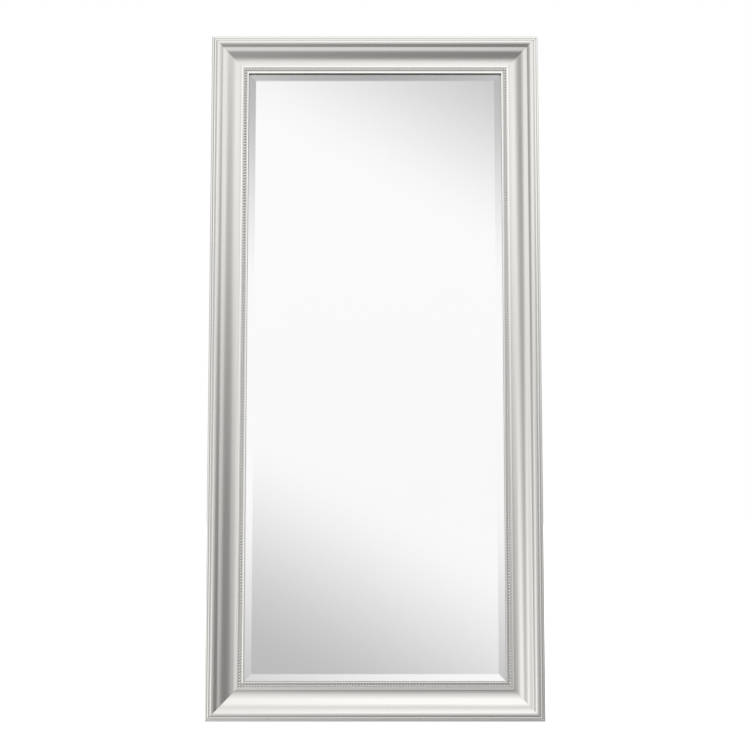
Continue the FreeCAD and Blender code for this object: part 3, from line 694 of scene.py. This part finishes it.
def raw_wood():
    """The bare softwood of the rails' backs and rabbets, with a little overspray."""
    look = Surface("raw_wood")
    grain = look.noise(look.scaled("UV", (5.0, 260.0, 1.0)), 1.0, 5.0, 0.6)
    rings = look.noise(look.scaled("UV", (1.2, 38.0, 1.0)), 1.0, 2.0, 0.5)
    spray = look.noise(look.scaled("Object", (1, 1, 1)), 60.0, 6.0, 0.7)
    tone = look.mix(look.ramp(grain, 0.3, 0.7), (0.46, 0.33, 0.20), (0.66, 0.51, 0.34))
    tone = look.mix(look.ramp(rings, 0.42, 0.62, 0.0, 0.5), tone, (0.42, 0.27, 0.15))
    look.colour(look.mix(look.ramp(spray, 0.58, 0.78, 0.0, 0.35), tone, (0.60, 0.59, 0.57)))
    look.roughness(look.ramp(grain, 0.3, 0.7, 0.62, 0.85))
    look.bump(grain, 0.35, 0.0004)
    return look.material


def glass():
    look = Surface("clear_glass")
    look.set(IOR=1.52, Transmission_Weight=1.0, Roughness=0.0)
    haze = look.noise(look.scaled("Object", (1, 1, 1)), 5.0, 3.0, 0.6)
    clear = look.mix(haze, (0.988, 0.990, 0.989), (0.994, 0.996, 0.995))
    # Painted shade: the shade attribute darkens the bevel's glass towards black.
    look.colour(look.mix(look.attribute("shade"), (0, 0, 0), clear))
    return look.material


def silvering():
    look = Surface("silvered_back")
    look.set(Metallic=1.0, Roughness=0.0)
    haze = look.noise(look.scaled("Object", (1, 1, 1)), 3.0, 4.0, 0.6)
    look.colour(look.mix(haze, (0.951, 0.952, 0.951), (0.968, 0.969, 0.968)))
    return look.material


def card():
    look = Surface("brown_card")
    fibre = look.noise(look.scaled("Object", (300, 300, 60)), 1.0, 5.0, 0.6)
    look.colour(look.mix(look.ramp(fibre, 0.3, 0.7), (0.50, 0.38, 0.25), (0.66, 0.53, 0.37)))
    look.roughness(look.ramp(fibre, 0.3, 0.7, 0.8, 0.95))
    look.bump(fibre, 0.3, 0.0003)
    return look.material


def hardboard():
    """Pressed fibre: long matted fibres, darker flecks and a faint screen pattern."""
    look = Surface("hardboard")
    warp = look.noise(look.scaled("Object", (1, 1, 1)), 9.0, 4.0, 0.6)
    fibre = look.noise(look.scaled("Object", (220, 220, 220)), 1.0, 8.0, 0.75)
    fleck = look.noise(look.scaled("Object", (900, 900, 500)), 1.0, 3.0, 0.6)
    tone = look.mix(look.ramp(fibre, 0.3, 0.7), (0.25, 0.150, 0.082), (0.40, 0.265, 0.155))
    tone = look.mix(look.ramp(fleck, 0.60, 0.72, 0.0, 0.55), tone, (0.13, 0.075, 0.04))
    look.colour(look.mix(look.ramp(warp, 0.35, 0.7, 0.0, 0.4), tone, (0.37, 0.25, 0.15)))
    look.roughness(look.ramp(fibre, 0.3, 0.7, 0.55, 0.8))
    screen = look.add("ShaderNodeTexVoronoi")
    screen.inputs["Scale"].default_value = 520.0
    look.link(look.scaled("Object", (1, 1, 1)), screen.inputs["Vector"])
    look.bump(look.math("ADD", fibre, look.math("MULTIPLY", screen.outputs["Distance"], 0.5)), 0.3, 0.0003)
    return look.material


def plated(name, light, dark, rough, spangle):
    """Plated sheet or wire: a cloudy bloom, fine scratches and a soft sheen."""
    look = Surface(name)
    look.set(Metallic=1.0)
    bloom = look.noise(look.scaled("Object", (1, 1, 1)), spangle, 4.0, 0.6)
    scratch = look.noise(look.scaled("Object", (2400, 2400, 90)), 1.0, 2.0, 0.5)
    tone = look.mix(look.ramp(bloom, 0.35, 0.65), dark, light)
    bare = tuple(min(1.0, c * 1.25) for c in light)
    look.colour(look.mix(look.ramp(scratch, 0.62, 0.75, 0.0, 0.35), tone, bare))
    sheen = look.ramp(bloom, 0.3, 0.7, rough, rough + 0.14)
    look.roughness(look.math("MULTIPLY_ADD", scratch, 0.06, sheen))
    look.bump(look.math("ADD", bloom, look.math("MULTIPLY", scratch, 0.5)), 0.15, 0.0001)
    return look.material


def rubber():
    look = Surface("black_rubber")
    look.set(Specular_IOR_Level=0.35)
    grain = look.noise(look.scaled("Object", (1, 1, 1)), 2600.0, 3.0, 0.6)
    dust = look.noise(look.scaled("Object", (1, 1, 1)), 180.0, 5.0, 0.7)
    look.colour(look.mix(look.ramp(dust, 0.5, 0.8, 0.0, 0.5), (0.022, 0.022, 0.023), (0.075, 0.073, 0.07)))
    look.roughness(look.ramp(dust, 0.3, 0.8, 0.6, 0.85))
    look.bump(grain, 0.3, 0.0002)
    return look.material


SILVER = silver("satin_silver", 1.0)
PEARL = silver("satin_silver_beads", 0.5)
WOOD, GLASS, SILVERING = raw_wood(), glass(), silvering()
ZINC = plated("zinc_plate", (0.62, 0.63, 0.64), (0.47, 0.485, 0.50), 0.30, 260.0)
YELLOW_ZINC = plated("passivated_zinc", (0.68, 0.63, 0.50), (0.55, 0.50, 0.40), 0.24, 420.0)
NICKEL = plated("nickel_plate", (0.70, 0.68, 0.65), (0.60, 0.585, 0.56), 0.16, 160.0)
STEEL = plated("bright_steel", (0.52, 0.52, 0.53), (0.40, 0.40, 0.41), 0.28, 300.0)

# ---------------------------------------------------------------------------------------------
# The pieces
# ---------------------------------------------------------------------------------------------

for side in SIDES:
    new_piece(f"moulding_{side}", "frame", [f"frame_{side}"], [SILVER, WOOD],
              build_rail(side), 22.0)
    new_piece(f"beading_{side}", "frame", [f"bead_strip_{side}"], [PEARL],
              build_beads(side), 40.0)

new_piece("mirror_plate", "frame", ["mirror_glass"], [GLASS, SILVERING], build_plate, 1.0)

CLIP_INSET, CLIP_MARGIN, CLIP_SHEET = 76.0, 200.0, 1.5
clip_places = [(0, CLIP_INSET), (0, HEIGHT - CLIP_INSET)]
clip_places += [(x, z) for x in (CLIP_INSET - WIDTH / 2, WIDTH / 2 - CLIP_INSET)
                for z in (CLIP_MARGIN, HEIGHT / 2, HEIGHT - CLIP_MARGIN)]

BRACE_INSET, BRACE_WIDTH, BRACE_SHEET = 30.0, 16.0, 1.6
BRACE_HOLES = (32.0, 68.0)                # from the brace's corner
brace_line = BRACE_INSET + BRACE_WIDTH / 2
brace_insets = [(BRACE_INSET + hole, brace_line) for hole in BRACE_HOLES]
brace_insets += [(brace_line, BRACE_INSET + hole) for hole in BRACE_HOLES]
brace_places = [(x_sign * (WIDTH / 2 - a), b if z_sign < 0 else HEIGHT - b)
                for x_sign in (-1, 1) for z_sign in (-1, 1) for a, b in brace_insets]

STRAP_SHEET, RING_AXIS = 1.5, 3.3         # over the frame's back
STRAP_HOLES = (27.0, 41.0)                # from the ring's axis
UPRIGHT_DROP, SIDEWAYS_INSET, SIDEWAYS_EDGE = 250.0, 400.0, 22.0
UPRIGHT_X, UPRIGHT_Z = WIDTH / 2 - RABBET_EDGE / 2, HEIGHT - UPRIGHT_DROP
SIDEWAYS_X = SIDEWAYS_EDGE - WIDTH / 2
SIDEWAYS_Z = {"low": SIDEWAYS_INSET, "high": HEIGHT - SIDEWAYS_INSET}
hanger_places = [(x, UPRIGHT_Z - hole) for x in (-UPRIGHT_X, UPRIGHT_X) for hole in STRAP_HOLES]
hanger_places += [(SIDEWAYS_X + hole, z) for z in SIDEWAYS_Z.values() for hole in STRAP_HOLES]

for name, places, sheet in (("clip_screws", clip_places, CLIP_SHEET),
                            ("brace_screws", brace_places, BRACE_SHEET),
                            ("hanger_screws", hanger_places, STRAP_SHEET)):
    new_piece(f"cross_head_{name}", "frame", [name], [YELLOW_ZINC],
              build_screws(places, BACK + sheet), 30.0)

RINGS = {
    "upright_left": ((-UPRIGHT_X, UPRIGHT_Z), (1, 0, 0), (0, 0, -1)),
    "upright_right": ((UPRIGHT_X, UPRIGHT_Z), (1, 0, 0), (0, 0, -1)),
    "sideways_low": ((SIDEWAYS_X, SIDEWAYS_Z["low"]), (0, 0, 1), (1, 0, 0)),
    "sideways_high": ((SIDEWAYS_X, SIDEWAYS_Z["high"]), (0, 0, 1), (1, 0, 0)),
}
for name, ((x, z), axis, hang) in RINGS.items():
    centre = Vector((x, BACK + RING_AXIS, z)) * MM
    new_piece(f"wire_ring_{name}", f"ring_{name}", [f"hanger_ring_{name}"], [NICKEL],
              build_ring(centre, Vector(axis), Vector(hang)), 60.0)

new_piece("rubber_bumpers", "frame", ["wall_bumpers"], [rubber()], build_bumpers, 30.0)


def dress(names, material, edge):
    """Gives CAD nodes their material and softens their sharp edges."""
    for name in names:
        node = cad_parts[name]
        node.data.materials.clear()
        node.data.materials.append(material)
        weld = node.modifiers.new("Weld", "WELD")
        weld.merge_threshold = 0.02 * MM
        bevel = node.modifiers.new("Soft edges", "BEVEL")
        bevel.width, bevel.segments, bevel.limit_method = edge * MM, 2, "ANGLE"
        bevel.angle_limit = math.radians(40)
        bevel.harden_normals = True
        bevel.use_clamp_overlap = True


corners = ("bottom_left", "top_left", "top_right", "bottom_right")
dress(["card_sheet"], card(), 0.2)
dress(["backing_board"], hardboard(), 0.3)
dress(["offset_clips"], ZINC, 0.22)
dress([f"corner_brace_{corner}" for corner in corners], ZINC, 0.3)
dress(["v_nails"], STEEL, 0.08)
dress([f"hanger_strap_{name}" for name in RINGS], NICKEL, 0.22)

# ---------------------------------------------------------------------------------------------
# Camera
# ---------------------------------------------------------------------------------------------

camera_data = bpy.data.cameras.new("camera")
camera_data.lens, camera_data.sensor_width = 59.83, 36.0
camera = bpy.data.objects.new("camera", camera_data)
camera.location = (0.0, -3.0426, 0.5694)
camera.rotation_euler = (math.radians(90 + 4.89), 0, 0)
bpy.context.scene.collection.objects.link(camera)
bpy.context.scene.camera = camera

# ---------------------------------------------------------------------------------------------
# Floor, lamp and the studio round the mirror
# ---------------------------------------------------------------------------------------------

floor_mesh = bpy.data.meshes.new("floor")
FLOOR = 14.0
floor_mesh.from_pydata([(-FLOOR, -FLOOR, 0), (FLOOR, -FLOOR, 0), (FLOOR, FLOOR, 0), (-FLOOR, FLOOR, 0)], [],
                       [(0, 1, 2, 3)])
floor = bpy.data.objects.new("floor", floor_mesh)
bpy.context.scene.collection.objects.link(floor)
floor.visible_glossy = False
floor.visible_transmission = False

look = Surface("pale_floor")
look.set(Base_Color=(0.8, 0.8, 0.8, 1), Roughness=1.0, Specular_IOR_Level=0.0)
camera_glow = look.add("ShaderNodeEmission")
light_path = look.add("ShaderNodeLightPath")
look.link(look.math("MULTIPLY", light_path.outputs["Is Camera Ray"], 0.72), camera_glow.inputs["Strength"])
both = look.add("ShaderNodeAddShader")
look.link(look.shader.outputs[0], both.inputs[0])
look.link(camera_glow.outputs[0], both.inputs[1])
look.link(both.outputs[0], look.out.inputs[0])
floor_mesh.materials.append(look.material)

world = bpy.data.worlds.new("studio")
bpy.context.scene.world = world
world.use_nodes = True
sky = Tree(world.node_tree)
sky.tree.nodes.clear()
direction = sky.add("ShaderNodeTexCoord").outputs["Generated"]
parts = sky.add("ShaderNodeSeparateXYZ")
sky.link(direction, parts.inputs[0])
aside, away, aloft = parts.outputs["X"], parts.outputs["Y"], parts.outputs["Z"]


def curve(value, stops):
    """A smooth curve through (value, brightness) stops; value runs from -1 to 1, brightness from 0 to 2."""
    node = sky.add("ShaderNodeFloatCurve")
    points = node.mapping.curves[0].points
    for _ in stops[2:]:
        points.new(0.5, 0.5)
    for point, (at, bright) in zip(points, stops):
        point.location = ((at + 1) / 2, bright / 2)
    node.mapping.update()
    sky.link(sky.math("MULTIPLY_ADD", value, 0.5, 0.5), node.inputs["Value"])
    return sky.math("MULTIPLY", node.outputs[0], 2.0)


def blend(base, weight, value):
    """base, moved towards value by weight."""
    keep = sky.math("SUBTRACT", 1.0, weight)
    return sky.math("ADD", sky.math("MULTIPLY", base, keep), sky.math("MULTIPLY", weight, value))


def step(value, low, high):
    """0 below low and 1 above high, with a smooth rise between them; it falls where low is above high."""
    return sky.ramp(value, low, high, shape="SMOOTHSTEP")


# What the satin silver sees: walls that darken to the right, a ceiling that brightens to the right and a
# floor that darkens to the right, with a pale backdrop, a greyer zenith and a soft glow low on the left.
GLOW_TOWARDS = (-0.50, -0.84, -0.20)
ZENITH, BACKDROP = 0.66, 1.02
walls = curve(aside, ((-1, 0.50), (-0.87, 0.56), (-0.7, 0.66), (-0.5, 0.84), (-0.3, 1.02), (-0.17, 1.02),
                      (0.0, 0.86), (0.17, 0.84), (0.34, 0.70), (0.5, 0.48), (0.64, 0.38), (0.8, 0.36),
                      (1, 0.38)))
ceiling = curve(aside, ((-1, 0.45), (-0.63, 0.60), (-0.47, 0.85), (-0.25, 1.14), (0.0, 1.36), (0.25, 1.37),
                        (0.5, 1.32), (1, 1.2)))
ground = curve(aside, ((-1, 1.05), (-0.6, 1.0), (-0.3, 0.66), (0.0, 0.37), (0.2, 0.29), (0.4, 0.26),
                       (1, 0.27)))
studio = blend(blend(walls, step(aloft, -0.10, 0.66), ceiling), step(aloft, 0.14, -0.50), ground)
behind = sky.math("MULTIPLY", step(away, -0.1, 0.4), step(aloft, -0.95, 0.0))
studio = blend(blend(studio, behind, BACKDROP), step(aloft, 0.86, 0.99), ZENITH)
glow = sky.add("ShaderNodeVectorMath", operation="DISTANCE")
sky.link(direction, glow.inputs[0])
glow.inputs[1].default_value = GLOW_TOWARDS
studio = sky.math("ADD", studio, sky.math("MULTIPLY", step(glow.outputs["Value"], 0.42, 0.05), 0.5))

# What the plate shows: a white room that fades to grey at its upper right and at its lower left.
ROOM_GREY = 0.5
LOWER_LEFT_GREY = 0.52
upper_right = step(sky.math("ADD", aloft, sky.math("MULTIPLY", aside, 0.5)), 0.225, 0.41)
lower_left = step(sky.math("ADD", aloft, sky.math("MULTIPLY", aside, 0.54)), -0.005, -0.20)
lower_left = sky.math("MULTIPLY", lower_left, step(aloft, -0.215, -0.18))
room = blend(blend(1.0, upper_right, ROOM_GREY), lower_left, LOWER_LEFT_GREY)

FILL = 0.85                               # what matt surfaces get from the surroundings
path = sky.add("ShaderNodeLightPath")
light = blend(FILL, path.outputs["Is Glossy Ray"], studio)
light = blend(light, path.outputs["Is Transmission Ray"], room)
light = blend(light, path.outputs["Is Camera Ray"], 1.0)
background = sky.add("ShaderNodeBackground")
background.inputs["Color"].default_value = (1, 1, 1, 1)
sky.link(light, background.inputs["Strength"])
world_out = sky.add("ShaderNodeOutputWorld")
sky.link(background.outputs[0], world_out.inputs[0])


def area_light(name, width, height, energy, place):
    """A rectangular lamp that the camera doesn't see."""
    data = bpy.data.lights.new(name, "AREA")
    data.shape = "RECTANGLE"
    data.size, data.size_y = width, height
    data.energy = energy
    lamp = bpy.data.objects.new(name, data)
    lamp.location = place
    lamp.visible_camera = False
    bpy.context.scene.collection.objects.link(lamp)
    return lamp


key = area_light("key", 2.2, 1.6, 32.0, (-2.4, -2.6, 3.2))
key.rotation_euler = (Vector((0, 0, 0.8)) - key.location).to_track_quat("-Z", "Y").to_euler()
key.visible_glossy = False

# A broad soft light high in front, which only the silver mirrors, fading out towards its edges.
bank = area_light("bank", 2.4, 1.5, 1.8, (0.1, -1.5, 1.68))
bank.rotation_euler = (math.radians(90), 0, 0)
bank.visible_diffuse = False
bank.visible_transmission = False
bank.data.use_nodes = True
bank_tree = Tree(bank.data.node_tree)
bank_parts = bank_tree.add("ShaderNodeSeparateXYZ")
bank_tree.link(bank_tree.add("ShaderNodeNewGeometry").outputs["Parametric"], bank_parts.inputs[0])
bank_fade = 1.0
for across in (bank_parts.outputs["X"], bank_parts.outputs["Y"]):
    hump = bank_tree.math("MULTIPLY", across, bank_tree.math("SUBTRACT", 1.0, across))
    hump = bank_tree.math("MULTIPLY", hump, 4.0)
    bank_fade = bank_tree.math("MULTIPLY", bank_fade, bank_tree.math("MULTIPLY", hump, hump))
bank_shader = next(node for node in bank_tree.tree.nodes if node.type == "EMISSION")
bank_tree.link(bank_fade, bank_shader.inputs["Strength"])

bpy.context.scene.view_settings.view_transform = "Standard"
